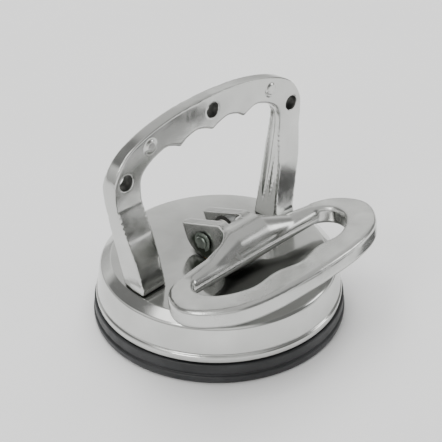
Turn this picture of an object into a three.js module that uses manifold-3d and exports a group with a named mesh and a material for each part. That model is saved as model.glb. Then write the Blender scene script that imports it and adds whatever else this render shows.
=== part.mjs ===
// Hand-operated vacuum suction cup with a cast carrying handle and an over-centre cam lever.
// Units are millimetres, +Z is up. The origin is the centre of the pad's flat suction face.
// The handle stands across X; the lever lies towards -Y and swings up against the handle.
import * as THREE from "three";
import { ConvexGeometry } from "three/addons/geometries/ConvexGeometry.js";
import { mergeVertices } from "three/addons/utils/BufferGeometryUtils.js";
import Module from "manifold-3d";

const wasm = await Module();
wasm.setup();

// Driving dimensions
const GAP = 0.3; // clearance between touching pieces
const LIFT = 3; // how far the cams pull the stud up
const SWING = THREE.MathUtils.degToRad(68); // lever travel from rest to locked

const PAD_R = 59; // rubber disc
const PAD_RIM_Z = 10; // top of the pad's rim
const PAD_CENTRE_Z = 7; // top of the pad's centre
const RECESS_R = 32; // recess for the insert plate

const DECK_Z = 30.5; // top face of the body casting
const DECK_R = 49.6; // flat top's edge
const DECK_UNDER_Z = 25.5; // underside of the deck
const BODY_FOOT_R = 57; // casting's lower rim
const SKIRT_TOP_R = 54.9;
const SKIRT_TOP_Z = 26.3;
const BOSS_R = 16; // central boss under the deck
const BOSS_Z = 22.5;
const RIB_COUNT = 6;
const RIB_T = 3;
const RIB_H = 4.5;

const INSERT_R = 31; // steel plate bonded to the pad
const INSERT_TOP_Z = 10.4;
const INSERT_BOSS_Z = 13.5;
const STUD_R = 4.85;
const STUD_BORE_R = 5.05;
const BUSH_R = 8;
const BUSH_FLANGE_R = 15;
const BUSH_FLANGE_Z = 20.6;
const BUSH_FLANGE_T = 1.6;
const SEAT_IN = 10; // spring seat
const SEAT_OUT = 18.6;
const SEAT_T = 1.2;
const SPRING_WIRE_R = 0.9;
const SPRING_TURNS = 3;
const SPRING_R = [17, 12]; // coil radius at the bottom and at the top
const NUT_FLATS = 15; // jam nut across flats
const NUT_T = 2.4;
const LOCK_WASHER_R = 8;

const PIN_Z = 40; // hinge pin height at rest
const PIN_R = 3;
const PIN_HOLE_R = 3.2;
const PIN_HALF = 11.4;
const EYE_HALF = 3.2; // half width of the stud's eye
const EYE_R = 5.3;
const CHEEK_IN = 4.5; // inner face of a cam cheek
const CHEEK_OUT = 9; // outer face
const CLIP_IN = 9.6; // inner face of a pin clip
const CLIP_T = 0.9;
const CLIP_R = 4.6;
const CLIP_BORE_R = 2.4;
const PIN_GROOVE_R = 2.1;
const EYE_WASHER_R = 5;

const HUB = [9, -15.5, 42.6]; // end of the thick middle of the lever's rear beam
const HUB_R = 9.9;
const BEAM_START = [25, -20, 41.6]; // where the hub has tapered down to the beam
const BEAM_START_R = 5.4;
const BEAM_END = [40, -21.5, 41.4];
const BEAM_END_R = 4.6;
const SCOOP_R = 9.5; // hollow behind the beam beside each cheek
const SCOOP_Y = -8.4;
const RING_Z = 43.5; // height of the ring's top plane above the hinge line
const RING_TILT = THREE.MathUtils.degToRad(6);
const RING_T = 8.7;
const RING_BEVEL = 1.8;

const GRIP_FRONT = 2; // front face of the handle's web
const GRIP_T = 6;
const RIM_T = 1.8; // raised edge behind the web's shoulders
const FLARE_Z = 75; // below this height the legs grow thicker
const FOOT_FRONT = -2.5;
const FOOT_BACK = 10.8;
const FOOT_IN = 35; // inner and outer faces of a leg where it meets the deck
const FOOT_OUT = 48;
const LIP_R = 49; // rounded lip of the foot, just inside the deck's edge
const LIP_T = 3;
const MARK_R = 2.9; // two round ejector marks on the front of the web
const MARK_X = 36.5;
const MARK_Z = 99;
const MARK_H = 0.8;
const HOLES = [[-50.6, 87.1], [0, 102.1], [50.6, 87.1]]; // holes through the web
const HOLE_R = 3.4;
const SCREW_X = 42.2; // one screw up into each leg
const SCREW_Y = 4.2;
const SCREW_R = 3;
const SCREW_TIP_Z = 43;
const SCREW_HEAD_R = 5;
const SCREW_HEAD_H = 5.6;
const SCREW_HEX = 5; // socket across flats
const SCREW_SOCKET = 2.6; // socket depth
const SCREW_WASHER_R = 5.8;

const ROUND = 60; // facets of large round parts
const SMALL = 24; // facets of shafts and bores
const FAR = 150; // reach of a cutting tool past everything it cuts

// Materials
function metal(color, roughness) {
  return new THREE.MeshStandardMaterial({ color, roughness, metalness: 1 });
}

function soft(color, roughness) {
  return new THREE.MeshStandardMaterial({ color, roughness, metalness: 0 });
}

const castAluminium = metal(0xc9cac6, 0.18);
const plainSteel = metal(0xb4b6b8, 0.32);
const darkSteel = metal(0x3a3c3e, 0.4);
const bronze = metal(0xa98652, 0.35);
const blackRubber = soft(0x101112, 0.6);
const nylon = soft(0xe6e4dc, 0.5);

// A closed three.js geometry as a solid with its faces pointing out
function solid(geometry) {
  const bare = geometry.clone();
  bare.deleteAttribute("normal");
  bare.deleteAttribute("uv");
  const merged = mergeVertices(bare, 1e-4);
  const vertProperties = merged.attributes.position.array;
  const triVerts = new Uint32Array(merged.index.array);
  const made = new wasm.Manifold(new wasm.Mesh({ numProp: 3, vertProperties, triVerts }));
  if (made.volume() > 0) return made;
  for (let i = 0; i < triVerts.length; i += 3) {
    [triVerts[i], triVerts[i + 1]] = [triVerts[i + 1], triVerts[i]];
  }
  return new wasm.Manifold(new wasm.Mesh({ numProp: 3, vertProperties, triVerts }));
}

function union(parts) {
  return parts.reduce((whole, part) => whole.add(part));
}

function cutAll(body, tools) {
  return tools.reduce((left, tool) => left.subtract(tool), body);
}

// Profile of [radius, height] pairs turned about the Z axis; a ring's profile closes on itself
function turned(profile, segments = ROUND) {
  const points = profile.map(([r, z]) => new THREE.Vector2(r, z));
  const open = profile[0][0] > 0;
  if (open) points.push(points[0].clone());
  return solid(new THREE.LatheGeometry(points, segments).rotateX(Math.PI / 2));
}

function disc(r, z0, z1, x = 0, y = 0, segments = SMALL) {
  const bar = new THREE.CylinderGeometry(r, r, z1 - z0, segments).rotateX(Math.PI / 2);
  return solid(bar.translate(x, y, (z0 + z1) / 2));
}

function barAlongX(r, x0, x1, y, z, segments = SMALL) {
  const bar = new THREE.CylinderGeometry(r, r, x1 - x0, segments).rotateZ(Math.PI / 2);
  return solid(bar.translate((x0 + x1) / 2, y, z));
}

function barAlongY(r, y0, y1, x, z, segments = SMALL) {
  const bar = new THREE.CylinderGeometry(r, r, y1 - y0, segments);
  return solid(bar.translate(x, (y0 + y1) / 2, z));
}

function block(x0, x1, y0, y1, z0, z1) {
  const box = new THREE.BoxGeometry(x1 - x0, y1 - y0, z1 - z0);
  return solid(box.translate((x0 + x1) / 2, (y0 + y1) / 2, (z0 + z1) / 2));
}

// Points round a circle that faces along X
function circleX([x, y, z], r) {
  const turns = Array.from({ length: SMALL }, (_, i) => (2 * Math.PI * i) / SMALL);
  return turns.map((a) => new THREE.Vector3(x, y + r * Math.cos(a), z + r * Math.sin(a)));
}

// Bar with a cone at each end, the same on both sides of x = 0
function doubleTaper([x0, y0, z0], r0, [x1, y1, z1], r1) {
  return solid(new ConvexGeometry([-1, 1].flatMap((side) => [
    ...circleX([side * x0, y0, z0], r0),
    ...circleX([side * x1, y1, z1], r1),
  ])));
}

// An outline drawn in X and Z, from y0 to y1, with an optional bevel inside that outline
function plateXZ(shape, y0, y1, bevel = 0) {
  const made = new THREE.ExtrudeGeometry(shape, {
    depth: y1 - y0 - 2 * bevel,
    bevelEnabled: bevel > 0,
    bevelThickness: bevel,
    bevelSize: bevel,
    bevelOffset: -bevel,
    bevelSegments: 2,
  });
  return solid(made.rotateX(Math.PI / 2).translate(0, y1 - bevel, 0));
}

// An outline drawn in Y and Z, from x0 to x1
function plateYZ(points, x0, x1) {
  const shape = new THREE.Shape(points.map(([y, z]) => new THREE.Vector2(y, z)));
  const made = new THREE.ExtrudeGeometry(shape, { depth: x1 - x0, bevelEnabled: false });
  const turn = new THREE.Matrix4().makeBasis(
    new THREE.Vector3(0, 1, 0),
    new THREE.Vector3(0, 0, 1),
    new THREE.Vector3(1, 0, 0),
  );
  return solid(made.applyMatrix4(turn).translate(x0, 0, 0));
}

function meshOf(name, made, material) {
  const { numProp, vertProperties, triVerts } = made.getMesh();
  const position = new Float32Array((vertProperties.length / numProp) * 3);
  for (let i = 0; i * numProp < vertProperties.length; i += 1) {
    position.set(vertProperties.subarray(i * numProp, i * numProp + 3), i * 3);
  }
  const geometry = new THREE.BufferGeometry();
  geometry.setAttribute("position", new THREE.BufferAttribute(position, 3));
  geometry.setIndex(new THREE.BufferAttribute(new Uint32Array(triVerts), 1));
  geometry.computeVertexNormals();
  const mesh = new THREE.Mesh(geometry, material);
  mesh.name = name;
  return mesh;
}

// Points of a smooth closed outline through the given right half, mirrored about x = 0
function mirroredSpline(half, divisions) {
  const left = half.filter(([x]) => x > 0).map(([x, y]) => [-x, y]);
  const all = [...half, ...left.reverse()].map(([x, y]) => new THREE.Vector3(x, y, 0));
  const curve = new THREE.CatmullRomCurve3(all, true, "centripetal");
  return curve.getSpacedPoints(divisions).slice(0, -1).map((p) => new THREE.Vector2(p.x, p.y));
}

// Rubber disc with a lipped edge, two sealing grooves below and a recess for its insert plate
function rubberPad() {
  const groove = (r) => [[r, 0], [r + 0.4, 0.8], [r + 1.8, 0.8], [r + 2.2, 0]];
  return turned([
    [0, 0], ...groove(46), ...groove(51.5),
    [57.2, 0], [58.5, 0.6], [PAD_R, 2], [PAD_R, 4], [57.9, 4.4], [57.9, 5.2],
    [58.5, 5.6], [58.3, 9.6], [57.9, PAD_RIM_Z],
    [RECESS_R + 1.2, PAD_RIM_Z], [RECESS_R, PAD_CENTRE_Z], [0, PAD_CENTRE_Z],
  ]);
}

// Dished casting: beaded rim, conical skirt, chamfered deck, hollow underneath with ribs
function bodyCasting() {
  const foot = PAD_RIM_Z + GAP;
  const innerR = SKIRT_TOP_R - 4.4;
  const shell = turned([
    [0, BOSS_Z], [BOSS_R, BOSS_Z], [BOSS_R + 0.6, DECK_UNDER_Z],
    [innerR - 1, DECK_UNDER_Z], [innerR, DECK_UNDER_Z - 1], [53, foot],
    [BODY_FOOT_R, foot], [BODY_FOOT_R + 0.4, foot + 0.6], [BODY_FOOT_R + 0.4, 13.3],
    [56.5, 14], [56.3, 14.3], [56.7, 14.8], [SKIRT_TOP_R, SKIRT_TOP_Z], [54.3, 27.4],
    [DECK_R + 0.8, DECK_Z - 0.5], [DECK_R, DECK_Z], [0, DECK_Z],
  ], 72);
  const ribs = [];
  for (let i = 0; i < RIB_COUNT; i += 1) {
    const rib = new THREE.BoxGeometry(innerR - BOSS_R + 2, RIB_T, RIB_H);
    rib.translate((innerR + BOSS_R) / 2, 0, DECK_UNDER_Z - RIB_H / 2 + 0.25);
    rib.rotateZ(((i + 0.5) * 2 * Math.PI) / RIB_COUNT);
    ribs.push(solid(rib));
  }
  const holes = [-1, 1].map((side) => disc(SCREW_R + 0.4, 0, FAR, side * SCREW_X, SCREW_Y));
  return cutAll(union([shell, ...ribs]), [disc(BUSH_R + GAP, 0, FAR), ...holes]);
}

// Half outline of the handle's outside and of its finger opening, as [x, z]
const GRIP_OUTER = [
  [0, 109.5], [20, 108.3], [38, 104.4], [50, 98.7], [56.2, 90.5], [57.4, 82],
  [55.3, 66], [51.5, 48], [48.3, 32],
];
const GRIP_INNER = [[35.3, 32], [37.6, 47], [40.6, 65], [42.8, 80], [41.2, 87.6], [35, 92.4]];
const GROOVES = [[28, 94.7], [19.4, 91.9], [9.5, 95.9], [0, 92.7]]; // finger grooves and cusps

function handleShape(footZ) {
  const outer = new THREE.SplineCurve(GRIP_OUTER.map(([x, z]) => new THREE.Vector2(x, z)));
  const rise = new THREE.SplineCurve(GRIP_INNER.map(([x, z]) => new THREE.Vector2(x, z)));
  const right = outer.getSpacedPoints(26);
  const inside = rise.getSpacedPoints(14);
  const fingers = fingerLine();
  const sole = [new THREE.Vector2(FOOT_OUT, footZ), new THREE.Vector2(FOOT_IN, footZ)];
  const half = [...right, ...sole, ...inside, ...fingers];
  const left = half.slice(1, -1).reverse().map((p) => new THREE.Vector2(-p.x, p.y));
  return new THREE.Shape([...half, ...left]);
}

// Scalloped underside of the grip from the corner to the middle: rounded grooves, sharp cusps
function fingerLine() {
  const start = new THREE.Vector2(...GRIP_INNER.at(-1));
  const [g1, c1, g2, c2] = GROOVES.map(([x, z]) => new THREE.Vector2(x, z));
  const wideEnd = new THREE.Vector2(23.5, 93.8);
  const narrowStart = new THREE.Vector2(15, 94.6);
  const narrowEnd = new THREE.Vector2(4.5, 94.8);
  const wide = new THREE.SplineCurve([start, g1, wideEnd, c1]);
  const narrow = new THREE.SplineCurve([c1, narrowStart, g2, narrowEnd, c2]);
  return [...wide.getSpacedPoints(7).slice(1), ...narrow.getSpacedPoints(8).slice(1)];
}

// Side profile that thickens the legs from the web down to the feet, as [y, z]
function flareProfile() {
  const back = GRIP_FRONT + GRIP_T;
  const footZ = DECK_Z + GAP;
  return [
    [GRIP_FRONT, FAR], [GRIP_FRONT, FLARE_Z], [-0.6, 60], [-1.9, 45], [FOOT_FRONT, footZ],
    [FOOT_BACK, footZ], [10.2, 45], [9.6, 60], [9, FLARE_Z], [back, FLARE_Z + 9], [back, FAR],
  ];
}

// One-piece casting: web with three holes, raised shoulder edges, flared legs, feet
function handleCasting() {
  const footZ = DECK_Z + GAP;
  const back = GRIP_FRONT + GRIP_T;
  const shape = handleShape(footZ);
  const web = plateXZ(shape, GRIP_FRONT, back, 1);
  const legs = plateXZ(shape, FOOT_FRONT - 2, FOOT_BACK + 2)
    .intersect(plateYZ(flareProfile(), -FAR, FAR))
    .intersect(block(-FAR, FAR, -FAR, FAR, 0, FLARE_Z + 9));
  const rims = [-1, 1].map((side) => shoulderRim(side, back));
  const lips = [-1, 1].map((side) => foot(side, footZ));
  const marks = [-1, 1].map((side) => (
    barAlongY(MARK_R, GRIP_FRONT - MARK_H, GRIP_FRONT + 1, side * MARK_X, MARK_Z)
  ));
  const bores = HOLES.map(([x, z]) => barAlongY(HOLE_R, -FAR, FAR, x, z));
  const threads = [-1, 1].map((side) => (
    disc(SCREW_R + 0.15, 0, SCREW_TIP_Z + 1, side * SCREW_X, SCREW_Y)
  ));
  return cutAll(union([web, legs, ...rims, ...lips, ...marks]), [...bores, ...threads]);
}

// Small lip that spreads a leg outwards on the deck
function foot(side, footZ) {
  const x0 = side < 0 ? -LIP_R - 2 : FOOT_IN;
  const x1 = side < 0 ? -FOOT_IN : LIP_R + 2;
  const slab = block(x0, x1, FOOT_FRONT, FOOT_BACK, footZ, footZ + LIP_T);
  return slab.intersect(disc(LIP_R, 0, FAR, 0, 0, ROUND));
}

// Raised edge behind a shoulder: it follows the outside and slopes away above and below
function shoulderRim(side, back) {
  const outer = GRIP_OUTER.slice(2, 8).map(([x, z]) => new THREE.Vector2(x - 0.2, z - 0.2));
  const inner = [[50.8, 55], [51.6, 66], [52, 82], [50.6, 88.6], [46, 94.6], [36, 100.6]];
  const points = [
    ...new THREE.SplineCurve(outer).getSpacedPoints(16),
    ...new THREE.SplineCurve(inner.map(([x, z]) => new THREE.Vector2(x, z))).getSpacedPoints(12),
  ];
  const crescent = new THREE.Shape(points.map((p) => new THREE.Vector2(side * p.x, p.y)));
  const top = back + RIM_T;
  const slope = [[0, 58], [back, 62], [top, 76], [top, 86], [back, 101], [0, 104]];
  return plateXZ(crescent, back - 1, top).intersect(plateYZ(slope, -FAR, FAR));
}

// Ring of the lever, as [x, distance in front of the hinge line]
const RING_OUTER = [
  [0, 62], [25, 60.8], [43, 56.2], [54, 47.5], [59.2, 38], [57, 28.5], [51, 21.5], [43, 18],
];
const RING_WINDOW = [
  [0, 23.8], [26, 23.4], [38, 24.4], [43.5, 28.6], [44.5, 34], [41.5, 40.5], [34, 45.6],
  [26, 47.8], [13, 47], [0, 49.8],
];

function leverRing() {
  const outer = RING_OUTER.map(([x, s]) => new THREE.Vector2(x, -s));
  const window = RING_WINDOW.map(([x, s]) => [x, -s]);
  const half = new THREE.SplineCurve(outer).getSpacedPoints(24);
  const left = half.slice(1).reverse().map((p) => new THREE.Vector2(-p.x, p.y));
  const shape = new THREE.Shape([...half, ...left]);
  shape.holes.push(new THREE.Path(mirroredSpline(window, 72)));
  const made = new THREE.ExtrudeGeometry(shape, {
    depth: RING_T - 2 * RING_BEVEL,
    bevelThickness: RING_BEVEL,
    bevelSize: RING_BEVEL,
    bevelOffset: -RING_BEVEL,
    bevelSegments: 2,
  });
  made.translate(0, 0, RING_BEVEL - RING_T).rotateX(-RING_TILT);
  return solid(made.translate(0, 0, RING_Z));
}

// Cheek outline in Y and Z: a spiral underside ending in the flat that locks on the deck
function cheekOutline() {
  const restGap = PIN_Z - DECK_Z - GAP;
  const slope = LIFT / SWING;
  const spiral = [];
  const steps = 8;
  for (let i = 0; i <= steps; i += 1) {
    const turn = (SWING * i) / steps;
    const reach = restGap + slope * turn;
    spiral.push([
      reach * Math.sin(turn) + slope * Math.cos(turn),
      PIN_Z - reach * Math.cos(turn) + slope * Math.sin(turn),
    ]);
  }
  const back = [[14.8, PIN_Z + 4.2], [-9.5, PIN_Z + 12.8], [-14, PIN_Z + 12]];
  return [[-12, PIN_Z - 6], [-4, PIN_Z - restGap], ...spiral, ...back];
}

// Casting in one piece: ring to grip, thick rounded rear beam and two cam cheeks
function leverCasting() {
  const hub = doubleTaper(HUB, HUB_R, BEAM_START, BEAM_START_R);
  const beam = doubleTaper(BEAM_START, BEAM_START_R, BEAM_END, BEAM_END_R);
  const cheeks = [-CHEEK_OUT, CHEEK_IN].map((x) => (
    plateYZ(cheekOutline(), x, x + CHEEK_OUT - CHEEK_IN)
  ));
  const pinHole = barAlongX(PIN_HOLE_R, -FAR, FAR, 0, PIN_Z);
  const eyeRoom = barAlongX(EYE_R + 1.2, -CHEEK_IN, CHEEK_IN, 0, PIN_Z);
  const neckRoom = block(-CHEEK_IN, CHEEK_IN, -STUD_R - 0.6, 20, DECK_Z - 5, PIN_Z);
  const whole = union([leverRing(), hub, beam, ...cheeks]);
  return cutAll(whole, [pinHole, eyeRoom, neckRoom, scoop(-1), scoop(1)]);
}

// Room beside a cheek: a round inner corner that runs out along the back of the beam
function scoop(side) {
  const corner = CHEEK_OUT + SCOOP_R;
  const [inner, middle, outer] = [side * CHEEK_OUT, side * corner, side * FAR];
  return union([
    disc(SCOOP_R, 0, FAR, middle, SCOOP_Y, ROUND),
    block(Math.min(inner, outer), Math.max(inner, outer), SCOOP_Y, FAR, 0, FAR),
    block(Math.min(middle, outer), Math.max(middle, outer), SCOOP_Y - SCOOP_R, FAR, 0, FAR),
  ]);
}

// Stud with a flat-sided eye for the hinge pin
function centreStud() {
  const shoulder = DECK_Z - LIFT;
  const shank = disc(STUD_R, INSERT_TOP_Z - 1.8, shoulder);
  const flats = block(-EYE_HALF, EYE_HALF, -FAR, FAR, 0, FAR);
  const neck = disc(STUD_R, shoulder - 1, PIN_Z).intersect(flats);
  const eye = barAlongX(EYE_R, -EYE_HALF, EYE_HALF, 0, PIN_Z);
  return union([shank, neck, eye]).subtract(barAlongX(PIN_HOLE_R, -FAR, FAR, 0, PIN_Z));
}

// Steel disc moulded to the pad's back, with a threaded boss for the stud
function insertPlate() {
  const base = PAD_CENTRE_Z + GAP;
  return turned([
    [0, base], [INSERT_R, base], [INSERT_R, INSERT_TOP_Z - 0.5], [INSERT_R - 0.5, INSERT_TOP_Z],
    [9.5, INSERT_TOP_Z], [9, INSERT_TOP_Z + 0.5], [9, INSERT_BOSS_Z - 0.5], [8.5, INSERT_BOSS_Z],
    [STUD_BORE_R, INSERT_BOSS_Z], [STUD_BORE_R, base + 1], [0, base + 1],
  ]);
}

function guideBush() {
  const z = BUSH_FLANGE_Z;
  const top = DECK_Z - 0.4;
  return turned([
    [STUD_BORE_R + 0.15, z], [BUSH_FLANGE_R, z], [BUSH_FLANGE_R, z + BUSH_FLANGE_T],
    [BUSH_R, z + BUSH_FLANGE_T], [BUSH_R, top - 0.4], [BUSH_R - 0.4, top],
    [STUD_BORE_R + 0.55, top], [STUD_BORE_R + 0.15, top - 0.4],
  ], SMALL);
}

function washer(inner, outer, z0, z1) {
  return turned([[inner, z0], [outer, z0], [outer, z1], [inner, z1]], SMALL);
}

function hexPrism(acrossFlats, z0, z1) {
  return disc(acrossFlats / Math.sqrt(3), z0, z1, 0, 0, 6);
}

// Cone-shaped compression spring that can close flat
function returnSpring() {
  const bottom = INSERT_TOP_Z + SEAT_T + 3 * GAP + SPRING_WIRE_R;
  const top = BUSH_FLANGE_Z - GAP - SPRING_WIRE_R;
  const [lowR, highR] = SPRING_R;
  const steps = 48;
  const endCoil = 0.12; // share of the wire that lies flat at each end
  const route = [];
  for (let i = 0; i <= steps; i += 1) {
    const t = i / steps;
    const angle = 2 * Math.PI * SPRING_TURNS * t;
    const r = lowR + (highR - lowR) * t;
    const climb = THREE.MathUtils.clamp((t - endCoil) / (1 - 2 * endCoil), 0, 1);
    const z = bottom + climb * (top - bottom);
    route.push(new THREE.Vector3(r * Math.cos(angle), r * Math.sin(angle), z));
  }
  const section = new THREE.Shape().absarc(0, 0, SPRING_WIRE_R, 0, 2 * Math.PI);
  return solid(new THREE.ExtrudeGeometry(section, {
    steps: 60,
    curveSegments: 3,
    extrudePath: new THREE.CatmullRomCurve3(route),
    bevelEnabled: false,
  }));
}

// Pin with a groove near each end for its clip
function hingePin() {
  const half = CLIP_T / 2 + 0.2;
  const groove = (x) => [
    [x - half, PIN_R], [x - half, PIN_GROOVE_R], [x + half, PIN_GROOVE_R], [x + half, PIN_R],
  ];
  const at = CLIP_IN + CLIP_T / 2;
  const line = [
    [-PIN_HALF, 0], [-PIN_HALF, PIN_R - 0.4], [-PIN_HALF + 0.4, PIN_R], ...groove(-at),
    ...groove(at), [PIN_HALF - 0.4, PIN_R], [PIN_HALF, PIN_R - 0.4], [PIN_HALF, 0],
  ];
  const points = line.map(([x, r]) => new THREE.Vector2(r, x));
  const pin = new THREE.LatheGeometry(points, SMALL).rotateZ(-Math.PI / 2);
  return solid(pin.translate(0, 0, PIN_Z));
}

// Open retaining clip in the pin's groove
function pinClip(side) {
  const from = 0.5 - Math.PI / 2;
  const to = 1.5 * Math.PI - 0.5;
  const shape = new THREE.Shape();
  shape.absarc(0, 0, CLIP_R, from, to, false);
  shape.absarc(0, 0, CLIP_BORE_R, to, from, true);
  const points = shape.extractPoints(12).shape.map((p) => [p.x, p.y + PIN_Z]);
  const x0 = side < 0 ? -CLIP_IN - CLIP_T : CLIP_IN;
  return plateYZ(points, x0, x0 + CLIP_T);
}

// Plain washer between the stud's eye and a cheek
function eyeWasher(side) {
  const ring = washer(PIN_R + 0.35, EYE_WASHER_R, EYE_HALF + GAP, CHEEK_IN - GAP);
  const turn = new THREE.Matrix4().makeRotationY((side * Math.PI) / 2);
  return ring.transform(turn.setPosition(0, 0, PIN_Z).elements);
}

function springSeat() {
  const z = INSERT_TOP_Z + GAP;
  return washer(SEAT_IN, SEAT_OUT, z, z + SEAT_T);
}

// The lock washer and the thin nut that hold the stud in the insert plate's boss
function lockWasher() {
  return washer(STUD_BORE_R + 0.1, LOCK_WASHER_R, INSERT_BOSS_Z + GAP, nutBottom() - GAP);
}

function jamNut() {
  const z = nutBottom();
  return hexPrism(NUT_FLATS, z, z + NUT_T).subtract(disc(STUD_BORE_R + 0.05, 0, FAR));
}

function nutBottom() {
  return INSERT_BOSS_Z + 1.4;
}

// Socket-head screw standing upright: head below the deck, thread up in the handle's foot
function handleScrew() {
  const top = DECK_UNDER_Z - 1.6;
  const bottom = top - SCREW_HEAD_H;
  const screw = turned([
    [0, bottom], [SCREW_HEAD_R - 0.4, bottom], [SCREW_HEAD_R, bottom + 0.4], [SCREW_HEAD_R, top],
    [SCREW_R, top], [SCREW_R, SCREW_TIP_Z - 0.6], [SCREW_R - 0.6, SCREW_TIP_Z], [0, SCREW_TIP_Z],
  ], SMALL);
  return screw.subtract(hexPrism(SCREW_HEX, 0, bottom + SCREW_SOCKET));
}

function screwWasher() {
  return washer(SCREW_R + 0.3, SCREW_WASHER_R, DECK_UNDER_Z - 1.3, DECK_UNDER_Z - 0.3);
}

const cup = new THREE.Group();
cup.name = "vacuum_suction_cup";

const base = new THREE.Group();
base.add(meshOf("rubber_pad", rubberPad(), blackRubber));
base.add(meshOf("body_casting", bodyCasting(), castAluminium));
base.add(meshOf("handle_casting", handleCasting(), castAluminium));
base.add(meshOf("stud_guide_bush", guideBush(), bronze));
base.add(meshOf("return_spring", returnSpring(), plainSteel));
[-1, 1].forEach((side) => {
  const name = side < 0 ? "left" : "right";
  const screw = meshOf(`handle_screw_${name}`, handleScrew(), darkSteel);
  const lock = meshOf(`screw_washer_${name}`, screwWasher(), plainSteel);
  screw.position.set(side * SCREW_X, SCREW_Y, 0);
  lock.position.set(side * SCREW_X, SCREW_Y, 0);
  base.add(screw, lock);
});

const stud = new THREE.Group();
stud.add(meshOf("pad_insert_plate", insertPlate(), plainSteel));
stud.add(meshOf("centre_stud", centreStud(), plainSteel));
stud.add(meshOf("spring_seat", springSeat(), plainSteel));
stud.add(meshOf("stud_lock_washer", lockWasher(), plainSteel));
stud.add(meshOf("stud_jam_nut", jamNut(), darkSteel));
stud.add(meshOf("hinge_pin", hingePin(), plainSteel));
[-1, 1].forEach((side) => {
  const name = side < 0 ? "left" : "right";
  stud.add(meshOf(`pin_clip_${name}`, pinClip(side), plainSteel));
  stud.add(meshOf(`eye_washer_${name}`, eyeWasher(side), nylon));
});

const lever = new THREE.Group();
lever.add(meshOf("lever_casting", leverCasting(), castAluminium));

cup.add(base, stud, lever);

export default cup;
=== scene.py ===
"""Vacuum suction cup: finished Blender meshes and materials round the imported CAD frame.

Lengths in this script are millimetres in the CAD frame and become metres in new_object().
"""

import math

import bmesh
import bpy
from mathutils import Matrix, Vector
from mathutils.geometry import tessellate_polygon


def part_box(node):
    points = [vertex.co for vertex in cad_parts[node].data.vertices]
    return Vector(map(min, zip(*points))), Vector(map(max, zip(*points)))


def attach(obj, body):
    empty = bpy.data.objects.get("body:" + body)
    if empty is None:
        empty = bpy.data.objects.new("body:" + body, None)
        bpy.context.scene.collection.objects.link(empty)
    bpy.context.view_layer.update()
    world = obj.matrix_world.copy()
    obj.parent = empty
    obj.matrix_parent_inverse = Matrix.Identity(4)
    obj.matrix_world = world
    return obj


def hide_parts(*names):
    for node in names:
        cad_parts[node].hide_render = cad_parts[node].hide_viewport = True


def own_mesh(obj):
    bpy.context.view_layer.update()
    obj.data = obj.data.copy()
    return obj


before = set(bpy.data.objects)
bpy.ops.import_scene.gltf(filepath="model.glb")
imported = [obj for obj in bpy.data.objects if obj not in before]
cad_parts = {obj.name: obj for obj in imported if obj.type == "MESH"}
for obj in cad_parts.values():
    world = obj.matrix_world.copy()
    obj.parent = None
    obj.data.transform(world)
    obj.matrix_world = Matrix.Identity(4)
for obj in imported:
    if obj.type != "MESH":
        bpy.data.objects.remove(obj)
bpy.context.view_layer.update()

MM = 0.001
VOXEL = 0.42  # mm, grid of the remeshed castings
TURN = 192  # segments of a turned piece


def high(node):
    """Highest corner of a CAD node, in mm."""
    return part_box(node)[1] / MM


def low(node):
    """Lowest corner of a CAD node, in mm."""
    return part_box(node)[0] / MM


# Driving dimensions, taken from the CAD frame
PAD_R = high("rubber_pad").x
PAD_RIM_Z = high("rubber_pad").z
DECK_Z = high("body_casting").z
BODY_R = high("body_casting").x
BODY_FOOT_Z = low("body_casting").z
BUSH_R = high("stud_guide_bush").x
BUSH_Z = (low("stud_guide_bush").z, high("stud_guide_bush").z)
INSERT_R = high("pad_insert_plate").x
INSERT_Z = (low("pad_insert_plate").z, high("pad_insert_plate").z)
FOOT_Z = low("handle_casting").z
GRIP_Z = high("handle_casting").z
FOOT_FRONT = low("handle_casting").y
FOOT_BACK = high("handle_casting").y
PIN_HALF = high("hinge_pin").x
PIN_R = (high("hinge_pin").z - low("hinge_pin").z) / 2
PIN_Z = (high("hinge_pin").z + low("hinge_pin").z) / 2
STUD_Z = (low("centre_stud").z, high("centre_stud").z)
EYE_R = STUD_Z[1] - PIN_Z

# Driving dimensions chosen with the part
CLEAR = 0.3  # gap between touching pieces
LIFT = 3.0
SWING = math.radians(68)
DECK_R = 49.6
DECK_UNDER_Z = 25.5
SKIRT_TOP = (54.9, 26.3)
BOSS_R = 16.0
BOSS_Z = 22.5
RIB_COUNT = 6
RIB_T = 3.0
RIB_Z = (21.5, 26.0)
BUSH_BODY_R = 8.0
PLATE_TOP = 10.4  # flat part of the pad's insert plate
PLATE_BOSS_R = 9.0
SEAT_BORE_R = 10.0
RECESS_R = 32.0
RECESS_Z = 7.0
STUD_R = 4.85
STUD_BORE_R = 5.05
NUT_FLATS = 15.0
PIN_HOLE_R = 3.2
PIN_GROOVE_R = 2.1
CLIP_BORE_R = 2.4
WASHER_BORE_R = 3.35  # of the washers beside the stud's eye
POCKET_R = EYE_R + 1.2  # round pocket for the eye between the cheeks
EYE_HALF = 3.2
CHEEK_IN = 4.5
CHEEK_OUT = 9.0
HUB = (9.0, -15.5, 42.6)  # end of the thick middle of the lever's rear beam
HUB_R = 9.9
BEAM_START = (25.0, -20.0, 41.6)
BEAM_START_R = 5.4
BEAM_END = (40.0, -21.5, 41.4)
BEAM_END_R = 4.6
SCOOP_R = 9.5
SCOOP_Y = -8.4
RING_Z = 43.5
RING_TILT = math.radians(6)
RING_T = 8.7
RING_EDGE = 1.8
GRIP_FRONT = 2.0
GRIP_BACK = 8.0
RIM_T = 1.8
CREASE_Z = 75.0
LEG_IN, LEG_OUT = 35.0, 48.0  # a leg's inner and outer face at its foot
LIP_R = 49.0  # rounded lip of the foot
LIP_T = 3.0
SCREW_X = 42.2
SCREW_Y = 4.2
SCREW_R = 3.0
SCREW_HEAD_H = 5.6
SCREW_BORE_R = 3.15  # in a leg
SCREW_PASS_R = 3.4  # through the deck
SCREW_WASHER_BORE_R = 3.3
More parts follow.
